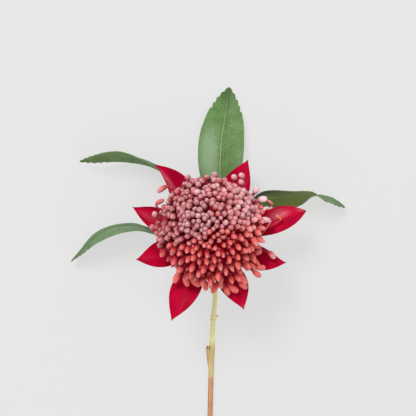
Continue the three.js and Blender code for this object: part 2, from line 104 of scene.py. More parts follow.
bpy.ops.object.camera_add(location=CAMERA_PLACE, rotation=(0, 0, 0))
camera = bpy.context.object
camera.data.lens = FOCAL_LENGTH
bpy.context.scene.camera = camera
bpy.context.scene.view_settings.view_transform = "Standard"


# The stem. A woody green stalk, cut square at its foot, with a node ring that bears a small bud, the
# torn foot of a lost leaf lower down, and a bent neck that flares into the cup under the head.
STEM_RADIUS = 2.1
STEM_SIDES = 28
STEM_STEPS = 150
CUT_END = -208
LYING_STEM = ((-1.4, CUT_END), (-1.2, -180), (0, -148), (0.7, -120), (1.6, -91), (2.7, -68))
NODE_RING_Y = -67
SHEATH_Y = -93
NECK_ASIDE = 4.4
NECK_SHARES = (0, 0.2, 0.4, 0.6, 0.8, 1)
CUP_RADIUS = 9
CUP_DEPTH = 9
CUP_TOP = 0.2
FLARE = 9
HEAD_LEAN = math.radians(22)
HEAD_HEIGHT = 40
# a swelling is (middle, how far it stands out, how far it spreads)
SWELLINGS = ((NODE_RING_Y, 0.5, 1.8), (SHEATH_Y, 0.35, 6))
# a stub is (foot, tip, radius): the small bud first, then what a lost leaf left
STUBS = (
    ((3.2, NODE_RING_Y - 1.4, STEM_RADIUS), (6.8, NODE_RING_Y + 1.6, STEM_RADIUS + 0.4), 1.3),
    ((0.9, SHEATH_Y - 20, STEM_RADIUS), (-2.1, SHEATH_Y + 2.6, STEM_RADIUS + 0.2), 1.7),
)
STUB_SIDES = 14
STUB_PROFILE = ((0, 1.1), (0.5, 1.05), (0.8, 1), (0.9, 0.9), (0.96, 0.7), (1, 0.25))
# where the bark changes, each from one height above the cut end to another
WOOD_LIGHTENS = (20, 88)
WOOD_ENDS = (90.5, 94.5)
SLEEVE_STARTS = (91.5, 93)
SLEEVE_ENDS = (114, 124)
STALK_GREENS = (112, 170)
STAINS_END = (95, 120)
# where the painted shade on the left side of the stem fades out
PAINTED_SHADE_SIDE_ENDS = (100, 122)
RING_LINE = NODE_RING_Y - 1.7 - CUT_END
SCAR = SHEATH_Y + 1.6 - CUT_END

# the middle of the cut end shows where the flower lies in the frame
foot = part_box("stem")[0].y
cut_face = [v.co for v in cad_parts["stem"].data.vertices if v.co.y < foot + 0.0001]
cut_middle = sum(cut_face, Vector()) / len(cut_face) * 1000
FLOWER_PLACE = Vector((cut_middle.x - LYING_STEM[0][0], cut_middle.y - CUT_END, 0))


def lerp(a, b, share):
    return a + (b - a) * share


def smooth(value, low, high):
    share = min(max((value - low) / (high - low), 0), 1)
    return share * share * (3 - 2 * share)


def in_head(u, v, w):
    """A point of the head's own frame, whose third axis leans from straight up toward the top leaf."""
    return Matrix.Rotation(-HEAD_LEAN, 3, "X") @ Vector((u, v, w)) + Vector((0, 0, HEAD_HEIGHT))


def neck_points():
    """The neck rises off the table on an arc and ends under the cup, in line with the head."""
    top = in_head(0, 0, -CUP_DEPTH)
    radius = (top.z - STEM_RADIUS) / (1 - math.sin(HEAD_LEAN))
    for share in NECK_SHARES:
        turn = lerp(math.pi / 2, HEAD_LEAN, share)
        yield Vector((
            NECK_ASIDE * (1 - share) ** 1.5,
            top.y - radius * (math.cos(HEAD_LEAN) - math.cos(turn)),
            STEM_RADIUS + radius * (1 - math.sin(turn)),
        ))


def stem_radius(to_top, y):
    flare = (CUP_RADIUS - STEM_RADIUS) * (1 - smooth(to_top, CUP_DEPTH - 1, CUP_DEPTH + FLARE))
    swollen = sum(out * math.exp(-(((y - middle) / spread) ** 2)) for middle, out, spread in SWELLINGS)
    return STEM_RADIUS + flare + swollen


def lay_path(points, tilts=None):
    """A smooth curve through the points, along which a straight piece is bent."""
    bpy.ops.curve.primitive_bezier_curve_add()
    path = bpy.context.object
    path.data.twist_mode = "Z_UP"
    path.data.resolution_u = 16
    knots = path.data.splines[0].bezier_points
    knots.add(len(points) - 2)
    for i, (knot, point) in enumerate(zip(knots, points)):
        knot.co = point
        knot.handle_left_type = knot.handle_right_type = "AUTO"
        knot.tilt = math.radians(90 + (tilts[i] if tilts else 0))
    return path


stem_path = lay_path(
    [Vector((x, y, STEM_RADIUS)) for x, y in LYING_STEM] + list(neck_points())
    + [in_head(0, 0, -CUP_DEPTH / 2), in_head(0, 0, CUP_TOP)])
stem_length = stem_path.data.splines[0].calc_length()
stem_rings = []
for i in range(STEM_STEPS + 1):
    along = stem_length * i / STEM_STEPS
    stem_rings.append((along, stem_radius(stem_length - along, CUT_END + along)))


def only(piece):
    """Leaves edit mode with one piece selected."""
    if bpy.context.mode != "OBJECT":
        bpy.ops.object.mode_set(mode="OBJECT")
    bpy.ops.object.select_all(action="DESELECT")
    piece.select_set(True)
    bpy.context.view_layer.objects.active = piece


def edit(piece):
    """Opens a piece in edit mode, with all of it selected."""
    only(piece)
    bpy.ops.object.mode_set(mode="EDIT")
    bpy.ops.mesh.select_all(action="SELECT")


def grown_tube(sides, rings, sink=lambda along: 0):
    """A straight tube along Y, extruded from ring to ring. A ring is (along, radius), and sink gives
    how far below the axis it hangs."""
    along, radius = rings[0]
    bpy.ops.mesh.primitive_circle_add(
        vertices=sides, radius=radius, fill_type="NGON", rotation=(math.pi / 2, 0, 0))
    tube = bpy.context.object
    bpy.ops.object.transform_apply()
    edit(tube)
    bpy.ops.transform.translate(value=(0, along, -sink(along)))
    for next_along, next_radius in rings[1:]:
        step = (0, next_along - along, sink(along) - sink(next_along))
        bpy.ops.mesh.extrude_region_move(TRANSFORM_OT_translate={"value": step})
        wider = next_radius / radius
        bpy.ops.transform.resize(
            value=(wider, 1, wider), center_override=(0, next_along, -sink(next_along)))
        along, radius = next_along, next_radius
    bpy.ops.mesh.select_all(action="SELECT")
    bpy.ops.mesh.normals_make_consistent(inside=False)
    only(tube)
    return tube


def note(piece, name, value):
    """Keeps a vector at each vertex, worked out from its place, for the piece's material to read."""
    attribute = piece.data.attributes.new(name, "FLOAT_VECTOR", "POINT")
    for vertex, kept in zip(piece.data.vertices, attribute.data):
        kept.vector = value(vertex.co)


def bend(piece, path):
    modifier = piece.modifiers.new("bend", "CURVE")
    modifier.object = path
    modifier.deform_axis = "POS_Y"


def apply_all(piece):
    only(piece)
    for modifier in list(piece.modifiers):
        bpy.ops.object.modifier_apply(modifier=modifier.name)


def round_off(degrees):
    """Shades the selected piece smooth, but for the edges that turn by more than an angle."""
    bpy.ops.object.shade_smooth_by_angle(angle=math.radians(degrees))


stem = grown_tube(STEM_SIDES, stem_rings)
note(stem, "straight", lambda place: place)
bend(stem, stem_path)
apply_all(stem)
round_off(50)
bpy.data.objects.remove(stem_path)


def stem_stub(foot, tip, radius):
    """A blunt stub that leaves the stem at a slant."""
    reach = tip - foot
    rings = [(share * reach.length, size * radius) for share, size in STUB_PROFILE]
    stub = grown_tube(STUB_SIDES, rings)
    stub.rotation_euler = reach.to_track_quat("Y", "Z").to_euler()
    stub.location = foot
    bpy.ops.object.transform_apply()
    round_off(60)
    # the bark's pattern runs on from the stem at this height
    note(stub, "straight", lambda place: (place.x, place.y - CUT_END, place.z))
    return stub


def join(name, pieces):
    only(pieces[0])
    for piece in pieces:
        piece.select_set(True)
    bpy.ops.object.join()
    bpy.context.object.name = bpy.context.object.data.name = name
    return bpy.context.object


stubs = [stem_stub(Vector(foot), Vector(tip), radius) for foot, tip, radius in STUBS]
stem = join("flower_stem", [stem] + stubs)


def tint(red, green, blue):
    """A colour as it is seen, 0 to 255, in the linear values that Blender works with."""
    def linear(value):
        share = value / 255
        return share / 12.92 if share <= 0.04045 else ((share + 0.055) / 1.055) ** 2.4
    return (linear(red), linear(green), linear(blue), 1)


class Wire:
    """A socket in a material. Arithmetic on it adds Math nodes, and node() adds any other node."""

    def __init__(self, tree, socket=None):
        self.tree = tree
        self.socket = socket

    def node(self, kind, settings=None, values=None, out=0):
        added = self.tree.nodes.new("ShaderNode" + kind)
        for name, setting in (settings or {}).items():
            setattr(added, name, setting)
        for name, value in (values or {}).items():
            if isinstance(value, Wire):
                self.tree.links.new(value.socket, added.inputs[name])
            else:
                added.inputs[name].default_value = value
        return Wire(self.tree, added.outputs[out])

    def math(self, operation, *values):
        return self.node("Math", {"operation": operation}, dict(enumerate(values)))

    def __add__(self, other):
        return self.math("ADD", self, other)

    def __radd__(self, other):
        return self.math("ADD", other, self)

    def __sub__(self, other):
        return self.math("SUBTRACT", self, other)

    def __rsub__(self, other):
        return self.math("SUBTRACT", other, self)

    def __mul__(self, other):
        return self.math("MULTIPLY", self, other)

    def __rmul__(self, other):
        return self.math("MULTIPLY", other, self)

    def __truediv__(self, other):
        return self.math("DIVIDE", self, other)

    def __pow__(self, other):
        return self.math("POWER", self, other)

    def size(self):
        return self.math("ABSOLUTE", self)

    def back_and_forth(self, top):
        return self.math("PINGPONG", self, top)

    def ramp(self, low, high):
        """0 below low, 1 above high, and a smooth rise between them."""
        return self.node("MapRange", {"interpolation_type": "SMOOTHSTEP"}, {0: self, 1: low, 2: high})

    def blend(self, colour, other):
        """The first colour where this is 0, the other where it is 1."""
        return self.node("Mix", {"data_type": "RGBA"}, {0: self, 6: colour, 7: other}, out=2)

    def noted(self, name):
        """The vector that note() kept at each vertex."""
        return self.node("Attribute", {"attribute_name": name}, out="Vector")

    def parts(self):
        """The three numbers of a vector."""
        first = self.node("SeparateXYZ", None, {0: self})
        return [Wire(self.tree, number) for number in first.socket.node.outputs]

    def scaled(self, *factors):
        """A vector with each of its numbers multiplied."""
        return self.node("VectorMath", {"operation": "MULTIPLY"}, {0: self, 1: factors})

    def noise(self, scale, detail=2, roughness=0.5):
        settings = {"Vector": self, "Scale": scale, "Detail": detail, "Roughness": roughness}
        return self.node("TexNoise", None, settings)

    def bump(self, strength, distance):
        """The normals of a surface that this raises by up to a distance in metres."""
        return self.node("Bump", None, {"Strength": strength, "Distance": distance, "Height": self})


def feed(material, **sockets):
    """Joins wires to the sockets of a material's shader."""
    shader = material.node_tree.nodes["Principled BSDF"]
    for socket, wire in sockets.items():
        material.node_tree.links.new(wire.socket, shader.inputs[socket.replace("_", " ")])


bark = new_material("stem_bark", Roughness=0.6, Specular_IOR_Level=0.25)
straight = Wire(bark.node_tree).noted("straight")
across, along, over = straight.parts()
from_axis = (across * across + over * over) ** 0.5
left_side = 1 - across.ramp(-2.2, -1)
fibre = straight.scaled(1, 0.06, 1).noise(2.2, detail=4, roughness=0.65)
patches = straight.noise(0.09)
height = along + (fibre - 0.5) * 3
green_top = height.ramp(*STALK_GREENS).blend(tint(250, 246, 174), tint(250, 255, 198))
sleeve = (1 - height.ramp(*SLEEVE_ENDS)) * height.ramp(*SLEEVE_STARTS)
young = sleeve.blend(green_top, tint(210, 188, 130))
old = height.ramp(*WOOD_LIGHTENS).blend(tint(182, 128, 92), tint(204, 150, 104))
whole = height.ramp(*WOOD_ENDS).blend(old, young)
lined = (fibre.ramp(0.52, 0.75) * 0.35).blend(whole, tint(240, 230, 190))
stains = patches.ramp(0.5, 0.75) * (1 - along.ramp(*STAINS_END)) * 0.4
stained = stains.blend(lined, tint(168, 118, 74))
# painted shade: the left side of the lower stem darker and browner, fading out near the scar
painted_shade_side = left_side * (1 - along.ramp(*PAINTED_SHADE_SIDE_ENDS)) * 0.75
shaded = painted_shade_side.blend(stained, tint(150, 92, 70))
ring_line = (1 - ((along - RING_LINE).size() / 0.7).ramp(0.3, 1)) * (1 - across.ramp(1.4, 2.2)) * 0.45
ringed = ring_line.blend(shaded, tint(172, 142, 78))
scar = (1 - ((along - SCAR).size() / 2.2).ramp(0.2, 1)) * left_side * 0.8
scarred = scar.blend(ringed, tint(128, 88, 56))
pith = from_axis.ramp(1.4, 2).blend(tint(226, 214, 172), tint(150, 112, 74))
feed(bark, Base_Color=along.ramp(0.02, 0.06).blend(pith, scarred), Normal=fibre.bump(0.35, 0.0003))
paint(stem, bark)


def set_down(piece, nodes):
    """Moves a finished piece from its own millimetres to its place in the frame."""
    only(piece)
    bpy.ops.object.transform_apply()
    piece.location = FLOWER_PLACE / 1000
    piece.scale = (0.001, 0.001, 0.001)
    bpy.ops.object.transform_apply()
    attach(piece, "root")
    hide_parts(*nodes)


set_down(stem, ["stem"])


# The leaves. Four leathery blades on short stalks, folded along a pale midrib and toothed near the
# tip; each is cut flat, bent along its midrib and let down until its margin rests on the table.
LEAF_THICKNESS = 0.5
LEAF_COLUMNS = 12
LEAF_ROWS = 44
LEAST_HALF_WIDTH = 0.15
TIP_TAPER = 0.75
FOOT_TAPER = 0.88
MARGIN_CREASE = (0.55, 2)
TEETH = 4
TOOTH_PITCH = 5
TOOTH_DEPTH = 1.7
WAVES = 3.5
STALK_HALF_WIDTH = 0.9
LEAF_STALK_RADIUS = 1.3
RIB_RADII = (0.75, 0.2)
RIB_SINK = 0.9
RIB_SIDES = 10
RIB_STEPS = 60
SIDE_VEIN_PITCH = 4.1
FINE_VEIN_PITCH = 1.55
VEIN_SLANT = 1.02
VEIN_CURVE = 0.008
# a leaf's points are places on its midrib, its roll turns the blade at even steps along it, and each
# spot of
# painted light is (share along, share across, length, width, strength): a painted highlight where the
# strength is above 0, painted shade where it is below
LEAVES = (
    {
        "name": "leaf_top",
        "points": (
            (0.6, -9, 21.5), (1.6, 4, 15.5), (3.8, 18, 11), (6.4, 34, 8.5), (7.8, 47, 7.6),
            (8.4, 65, 7.4), (9.3, 79, 7.2), (11, 90, 6), (12.6, 101, 4.2), (14.2, 112, 2.6),
            (16, 123.2, 1.4)),
        "half": 19.2, "stalk": 0.16, "roll": (0, 0, 5, 5, 3, 0),
        "fold": 0.16, "wave": 0.03, "settles": 0.8,
        "painted_highlights_and_shades": ((0.56, -0.5, 0.17, 0.45, 1.1), (0.5, 0.8, 0.16, 0.25, 0.45),
                   (0.6, 0.12, 0.3, 0.1, -0.5), (0.98, 0, 0.12, 2, -0.5)),
    },
    {
        "name": "leaf_upper_left",
        "points": (
            (0, -12, 17.5), (-6, 4, 12), (-12, 20, 9.5), (-22, 37, 9), (-34.5, 51, 10),
            (-46.4, 59, 11), (-56, 63, 12), (-65, 65, 12.5), (-75, 66, 12.5), (-85, 65.6, 12),
            (-95.5, 63.8, 10), (-107, 61.4, 7)),
        "half": 13, "stalk": 0.28, "roll": (-30, -62, -82, -85, -70, -60),
        "fold": 0.1, "wave": 0.04, "settles": 0.5,
        "painted_highlights_and_shades": ((0.45, 0.9, 0.1, 0.3, 0.4), (0.4, -0.9, 0.12, 0.4, -0.5), (0.75, 0, 0.2, 0.6, 0.12)),
    },
    {
        "name": "leaf_lower_left",
        "points": (
            (0.5, -20, 11), (-11, -14.5, 12), (-24, -5.5, 13.5), (-38, 2.6, 14.5), (-50.5, 6.8, 15),
            (-57, 8.4, 15.2), (-65, 9.1, 15), (-73.5, 8.8, 14.5), (-81.6, 6.7, 13.5),
            (-90, 2.1, 12.5), (-99.8, -5, 10.5), (-107.3, -12.8, 8), (-114.2, -20.6, 6)),
        "half": 15, "stalk": 0.16, "roll": (-90, -92, -96, -105, -109, -104),
        "fold": 0.12, "wave": 0.04, "settles": 0.5,
        "painted_highlights_and_shades": ((0.45, 0.3, 0.2, 0.4, 0.4), (1, 0, 0.3, 2, -0.5), (0.5, -0.9, 0.25, 0.3, -0.5)),
    },
    {
        "name": "leaf_right",
        "points": (
            (0.8, -16, 14), (9, -5, 11.5), (18, 7, 10), (29, 20, 10.5), (41, 30.4, 13), (53, 32.2, 15),
            (63.5, 32.7, 15.6), (73.4, 33.2, 15), (81.6, 34, 14), (87.4, 33.6, 13), (93, 32.8, 12),
            (99.4, 31.2, 10.5), (105.2, 28, 8.5), (111, 23.8, 6.5)),
        "half": 15.5, "stalk": 0.18, "roll": (40, 62, 66, 65, 61, 66, 105, 116),
        "fold": 0.14, "wave": 0.05, "settles": 0.45,
        "painted_highlights_and_shades": ((0.35, -0.85, 0.25, 0.4, -1.2), (0.62, 0.5, 0.14, 0.4, 0.4),
                   (0.42, 0, 0.22, 0.14, 0.9)),
    },
)


def through(stops, share):
    """The value at a share of the way along evenly spaced stops."""
    place = min(max(share, 0), 1) * (len(stops) - 1)
    i = min(int(place), len(stops) - 2)
    return lerp(stops[i], stops[i + 1], smooth(place - i, 0, 1))


def shares_along(points):
    """How far along the whole run of points each of them lies, from 0 to 1."""
    runs = [0]
    for near, far in zip(points, points[1:]):
        runs.append(runs[-1] + (far - near).length)
    return [run / runs[-1] for run in runs]


def leaf_half_width(leaf, share):
    """The blade is widest a little nearer its tip than its middle."""
    def shape(from_tip):
        return from_tip ** TIP_TAPER * (1 - from_tip) ** FOOT_TAPER
    from_tip = min(max((1 - share) / (1 - leaf["stalk"]), 0.0001), 1)
    plain = leaf["half"] * shape(from_tip) / shape(TIP_TAPER / (TIP_TAPER + FOOT_TAPER))
    return max(plain, STALK_HALF_WIDTH if share < 1.6 * leaf["stalk"] else LEAST_HALF_WIDTH)


def tooth_notch(from_tip):
    """What the teeth take from the margin: it runs out to each tooth's point, then steps in."""
    if from_tip > TEETH * TOOTH_PITCH:
        return 0
    return TOOTH_DEPTH * (from_tip / TOOTH_PITCH % 1) * smooth(from_tip, 0, TOOTH_PITCH)


def pick(piece, test):
    """Selects the vertices of a piece in edit mode whose place passes a test."""
    mesh = bmesh.from_edit_mesh(piece.data)
    mesh.select_mode = {"VERT"}
    bpy.ops.mesh.select_all(action="DESELECT")
    for vertex in mesh.verts:
        vertex.select_set(test(vertex.co))
    mesh.select_flush(True)
    bmesh.update_edit_mesh(piece.data)


def flat_blade(rows, columns, creases):
    """A blade grown row by row from its foot. A row is (along, half width, rise), and a crease that
    runs the length of it is (place across as a share of the half width, angle)."""
    along, half, rise = rows[0]
    bpy.ops.mesh.primitive_grid_add(x_subdivisions=columns, y_subdivisions=1, size=2)
    blade = bpy.context.object
    edit(blade)
    pick(blade, lambda place: place.y > 0)
    bpy.ops.mesh.delete(type="VERT")
    for across, angle in creases:
        for side in (1, -1):
            pick(blade, lambda place: side * place.x > across - 0.001)
            bpy.ops.transform.rotate(
                value=side * math.radians(angle), orient_axis="Y",
                center_override=(side * across, 0, 0))
    bpy.ops.mesh.select_all(action="SELECT")
    bpy.ops.transform.translate(value=(0, along + 1, 0))
    bpy.ops.transform.resize(value=(half, 1, half * rise), center_override=(0, 0, 0))
    for next_along, next_half, next_rise in rows[1:]:
        bpy.ops.mesh.extrude_region_move(
            TRANSFORM_OT_translate={"value": (0, next_along - along, 0)})
        wider = next_half / half
        bpy.ops.transform.resize(
            value=(wider, 1, wider * next_rise / rise), center_override=(0, 0, 0))
        along, half, rise = next_along, next_half, next_rise
    only(blade)
    return blade


def let_down(piece, path, settles):
    """Lowers the path of a bent piece until the piece's lowest point touches the table."""
    knots = path.data.splines[0].bezier_points
    for _ in range(4):
        bpy.context.view_layer.update()
        bent = piece.evaluated_get(bpy.context.evaluated_depsgraph_get())
        lowest = min(vertex.co.z for vertex in bent.data.vertices)
        for i, knot in enumerate(knots):
            knot.co.z -= lowest * smooth(i / (len(knots) - 1), 0.15, settles)
        path.data.update_tag()


def note_blade(blade, length, half_width, painted_highlights_and_shades):
    """Notes each vertex's place before bending, with how far out toward the margin it lies, and how
    much painted highlight it gets there, where a minus gives painted shade instead, with its share of
    the way to the tip."""
    def spread(place):
        return place.x / half_width(place.y / length)
    def sheen_and_shade(place):
        return sum(
            strength * math.exp(
                -(((place.y / length - along) / long) ** 2) - ((spread(place) - across) / wide) ** 2)
            for along, across, long, wide, strength in painted_highlights_and_shades)
    note(blade, "straight", lambda place: (place.x, place.y, spread(place)))
    note(blade, "painted_light_and_share", lambda place: (sheen_and_shade(place), place.y / length, 0))


def thicken(blade, thickness):
    """Gives a bent blade its thickness, with its second material underneath."""
    solid = blade.modifiers.new("thicken", "SOLIDIFY")
    solid.thickness = thickness
    solid.offset = 0
    solid.material_offset = 1


def leaf_rows(leaf, length):
    """The rows of a leaf's blade from its foot to its tip, closer together where it is toothed."""
    toothed = TEETH * TOOTH_PITCH
    from_tips = [lerp(length, toothed + 0.5, i / LEAF_ROWS) for i in range(LEAF_ROWS + 1)]
    for k in range(TEETH, 0, -1):
        from_tips += [k * TOOTH_PITCH + 0.01, k * TOOTH_PITCH - 0.5, (k - 0.5) * TOOTH_PITCH]
    rows = []
    for from_tip in from_tips + [1.2, 0.5, 0]:
        share = 1 - from_tip / length
        half = leaf_half_width(leaf, share) - tooth_notch(from_tip)
        waved = 1 + leaf["wave"] / leaf["fold"] * math.sin(WAVES * 2 * math.pi * share)
        risen = smooth(share, 0.8 * leaf["stalk"], 1.8 * leaf["stalk"])
        rows.append((length - from_tip, max(half, LEAST_HALF_WIDTH), max(waved * risen, 0.02)))
    return rows


def make_rib(leaf, length):
    """The round stalk, which runs on under the blade as its midrib."""
    def radius(share):
        rib = lerp(*RIB_RADII, share)
        return lerp(LEAF_STALK_RADIUS, rib, smooth(share, 0.7 * leaf["stalk"], 1.6 * leaf["stalk"]))
    def sink(along):
        share = along / length
        return RIB_SINK * radius(share) * smooth(share, 0.7 * leaf["stalk"], 1.5 * leaf["stalk"])
    rings = [(length * i / RIB_STEPS, radius(i / RIB_STEPS)) for i in range(RIB_STEPS)]
    rib = grown_tube(RIB_SIDES, rings, sink)
    note(rib, "straight", lambda place: place)
    note(rib, "painted_light_and_share", lambda place: (0, place.y / length, 0))
    return rib


def leaf_skin(name, roughness, relief, shade, light, vein, dark, gloss):
    """Mottled green with a midrib, side veins and a fine net between them, a painted shadow along each
    side of the midrib, and painted highlights and painted shade where the spots of painted light lie. A
    positive relief raises the veins, as on the underside."""
    skin = new_material(name, Roughness=roughness, Specular_IOR_Level=0.15)
    wire = Wire(skin.node_tree)
    straight = wire.noted("straight")
    across, along, spread = straight.parts()
    sheen_and_shade, share = wire.noted("painted_light_and_share").parts()[:2]
    across = across.size()
    waver = (straight.noise(0.16) - 0.5) * 4.5
    place = along - across * VEIN_SLANT - across * across * VEIN_CURVE + waver
    side_vein = 1 - (place / SIDE_VEIN_PITCH).back_and_forth(0.5).ramp(0.015, 0.09)
    fine_vein = 1 - ((place + 1.2) / FINE_VEIN_PITCH).back_and_forth(0.5).ramp(0.03, 0.2)
    cells = {"Vector": straight, "Scale": 0.75}
    net = 1 - wire.node("TexVoronoi", {"feature": "DISTANCE_TO_EDGE"}, cells).ramp(0.02, 0.16)
    rib_width = lerp(0.55, 0.25, share.ramp(0.4, 1))
    midrib = (1 - ((across + waver * 0.04) / rib_width).ramp(0.3, 1)) * (1 - share.ramp(0.6, 1) * 0.65)
    mottle = straight.noise(0.11, detail=3, roughness=0.6).ramp(0.3, 0.7)
    grain = straight.noise(1.6, detail=3).ramp(0.3, 0.75)
    green = mottle.blend(shade, light)
    grained = (grain * 0.3).blend(green, light)
    netted = ((net * 0.2 + fine_vein * 0.2) * (1 - midrib)).blend(grained, vein)
    veined = (side_vein * 0.36).blend(netted, vein)
    # a painted shadow along each side of the midrib
    shadow_beside_rib = (1 - (across - 1.1).size().ramp(0.1, 0.9)) * 0.35
    ribbed = midrib.blend(shadow_beside_rib.blend(veined, shade), vein)
    # painted shade where the spots of painted light are below 0, a painted highlight where they are
    # above it
    darkened = (sheen_and_shade * -1).ramp(0, 1).blend(ribbed, dark)
    glinting = (sheen_and_shade + (grain + side_vein - 0.6) * sheen_and_shade * 0.5).ramp(0, 1) * 0.7
    edged = spread.size().ramp(0.95, 1) * 0.4 * sheen_and_shade.ramp(-1, 0)
    height = midrib + side_vein * 0.55 + net * 0.16 + fine_vein * 0.12
    feed(skin, Base_Color=edged.blend(glinting.blend(darkened, gloss), vein),
         Roughness=roughness - 0.06 + grain * 0.12, Normal=height.bump(0.5, relief))
    return skin


fresh_green = leaf_skin(
    "leaf_face", roughness=0.5, relief=-0.00022,
    shade=tint(70, 106, 52), light=tint(100, 136, 74), vein=tint(158, 186, 130),
    dark=tint(46, 74, 34), gloss=tint(166, 194, 158))
# the right leaf's face is this darker copy of the leaf face: painted shade
shaded_leaf_face = leaf_skin(
    "leaf_face_shaded", roughness=0.5, relief=-0.00022,
    shade=tint(62, 88, 38), light=tint(88, 116, 52), vein=tint(150, 162, 72),
    dark=tint(36, 42, 20), gloss=tint(140, 158, 74))
underside = leaf_skin(
    "leaf_underside", roughness=0.62, relief=0.00025,
    shade=tint(88, 116, 78), light=tint(116, 144, 106), vein=tint(150, 174, 136),
    dark=tint(64, 84, 50), gloss=tint(146, 168, 142))
stalk_green = new_material("leaf_stalk", Roughness=0.6, Specular_IOR_Level=0.15)
wire = Wire(stalk_green.node_tree)
streak = wire.noted("straight").scaled(1, 0.08, 1).noise(2, detail=3).ramp(0.35, 0.7)
stalk = streak.blend(tint(128, 146, 74), tint(160, 172, 100))
under_blade = wire.noted("painted_light_and_share").parts()[1].ramp(0.3, 0.6)
feed(stalk_green, Base_Color=under_blade.blend(stalk, tint(98, 124, 78)))

for leaf in LEAVES:
    points = [Vector(point) for point in leaf["points"]]
    path = lay_path(points, [through(leaf["roll"], share) for share in shares_along(points)])
    length = path.data.splines[0].calc_length()
    rib = make_rib(leaf, length)
    midrib_crease = (0, math.degrees(math.atan(leaf["fold"])))
    blade = flat_blade(leaf_rows(leaf, length), LEAF_COLUMNS, (midrib_crease, MARGIN_CREASE))
    note_blade(blade, length, lambda share: leaf_half_width(leaf, share), leaf["painted_highlights_and_shades"])
    paint(blade, shaded_leaf_face if leaf["name"] == "leaf_right" else fresh_green, underside)
    paint(rib, stalk_green)
    bend(blade, path)
    let_down(blade, path, leaf["settles"])
    bend(rib, path)
    thicken(blade, LEAF_THICKNESS)
    for piece in (blade, rib):
        apply_all(piece)
        round_off(60)
    bpy.data.objects.remove(path)
    set_down(join(leaf["name"] + "_blade", [blade, rib]), [leaf["name"]])


# The bracts. Eight crimson blades in two layers round the cup, like petals: a narrow foot under the
# florets, a broad shoulder and a drawn-out point, with margins that turn up a little.
BRACT_THICKNESS = 0.6
BRACT_ROOT = 7
BRACT_LAYERS = (-3.2, -7)
BRACT_COLUMNS = 10
BRACT_ROWS = 34
BRACT_CREASES = ((0, 3), (0.3, 8), (0.65, 8))
BRACT_FOOT = 0.5
BRACT_TAPER = 3.4
FLAT_OUT_TO = 34
BRACT_DARK = tint(112, 0, 34)
# each bract's spots of painted light: painted pink sheen where above 0, painted shade where below
BRACTS = (
    {"name": "bract_upper_left", "layer": 0, "azimuth": 128, "reach": 75, "half": 10.6, "lift": 14,
     "sway": -7, "point": 1.7, "painted_highlights_and_shades": ((0.7, -0.6, 0.3, 0.3, 1.2), (0.6, 0.5, 0.3, 0.4, -0.6))},
    {"name": "bract_top_right", "layer": 1, "azimuth": 65, "reach": 73.5, "half": 12.5, "lift": 8,
     "sway": 0, "point": 1.4, "painted_highlights_and_shades": ((0.75, 0.5, 0.15, 0.15, 0.25),)},
    {"name": "bract_right_upper", "layer": 0, "azimuth": 16, "reach": 80.5, "half": 11.2, "lift": 3,
     "sway": -0.6, "point": 1.05,
     "painted_highlights_and_shades": ((0.7, -0.35, 0.13, 0.35, 1.3), (0.82, 0.35, 0.14, 0.35, -0.6),
                (0.95, -0.5, 0.05, 0.5, 1))},
    {"name": "bract_right_lower", "layer": 1, "azimuth": -18, "reach": 64, "half": 10.5, "lift": 0,
     "sway": -3.5, "point": 1.4, "painted_highlights_and_shades": ((0.78, 0.2, 0.12, 0.2, 0.2), (0.5, 0, 0.2, 2, -0.4))},
    {"name": "bract_bottom_right", "layer": 0, "azimuth": -65.5, "reach": 64.5, "half": 12, "lift": -6,
     "sway": 1, "point": 1.4, "painted_highlights_and_shades": ((0.97, 0, 0.05, 1, 0.6),)},
    {"name": "bract_bottom_left", "layer": 1, "azimuth": -115, "reach": 73, "half": 12, "lift": -8,
     "sway": 0, "point": 1.4, "painted_highlights_and_shades": ((0.72, -0.3, 0.12, 0.3, 0.25),)},
    {"name": "bract_left_lower", "layer": 0, "azimuth": -162.5, "reach": 62, "half": 12, "lift": 0,
     "sway": 2, "point": 1.4, "painted_highlights_and_shades": ((0.8, 0, 0.12, 0.25, 0.3), (0.35, 0, 0.25, 2, -0.5))},
    {"name": "bract_left_upper", "layer": 1, "azimuth": 156.5, "reach": 68.5, "half": 10.5, "lift": 2,
     "sway": 1, "point": 1.4,
     "painted_highlights_and_shades": ((0.75, -0.2, 0.2, 0.4, 0.5), (0.7, 0.85, 0.35, 0.3, -0.8), (1, 0, 0.06, 2, -0.8))},
)


def bract_half_width(bract, share):
    """The blade widens from a narrow foot to its shoulder and narrows again to its point."""
    point = bract["point"]
    def shape(share):
        return (share + BRACT_FOOT) ** BRACT_TAPER * (1 - share) ** point
    widest = (BRACT_TAPER - point * BRACT_FOOT) / (BRACT_TAPER + point)
    return max(bract["half"] * shape(min(share, 0.9999)) / shape(widest), 0.12)


def bract_points(bract):
    """The midrib in the head's own frame, from the cup out to the tip."""
    turn = math.radians(bract["azimuth"])
    low, reach, lift, sway = BRACT_LAYERS[bract["layer"]], bract["reach"], bract["lift"], bract["sway"]
    for out, height, swung in (
        (BRACT_ROOT, low, 0),
        (20, low - 0.4, 0.1),
        (FLAT_OUT_TO, low - 0.3, 0.5),
        (lerp(FLAT_OUT_TO, reach, 0.36), low + 1 + 0.1 * lift, 1),
        (lerp(FLAT_OUT_TO, reach, 0.72), low + 2 + 0.55 * lift, 0.7),
        (reach, low + 2 + lift, 0),
    ):
        aside = swung * sway
        yield Vector((
            out * math.cos(turn) - aside * math.sin(turn),
            out * math.sin(turn) + aside * math.cos(turn),
            height,
        ))


def lay_in_head(piece):
    """Turns a piece that is modelled in the head's own frame to where the head leans."""
    piece.rotation_euler = (-HEAD_LEAN, 0, 0)
    piece.location = (0, 0, HEAD_HEIGHT)


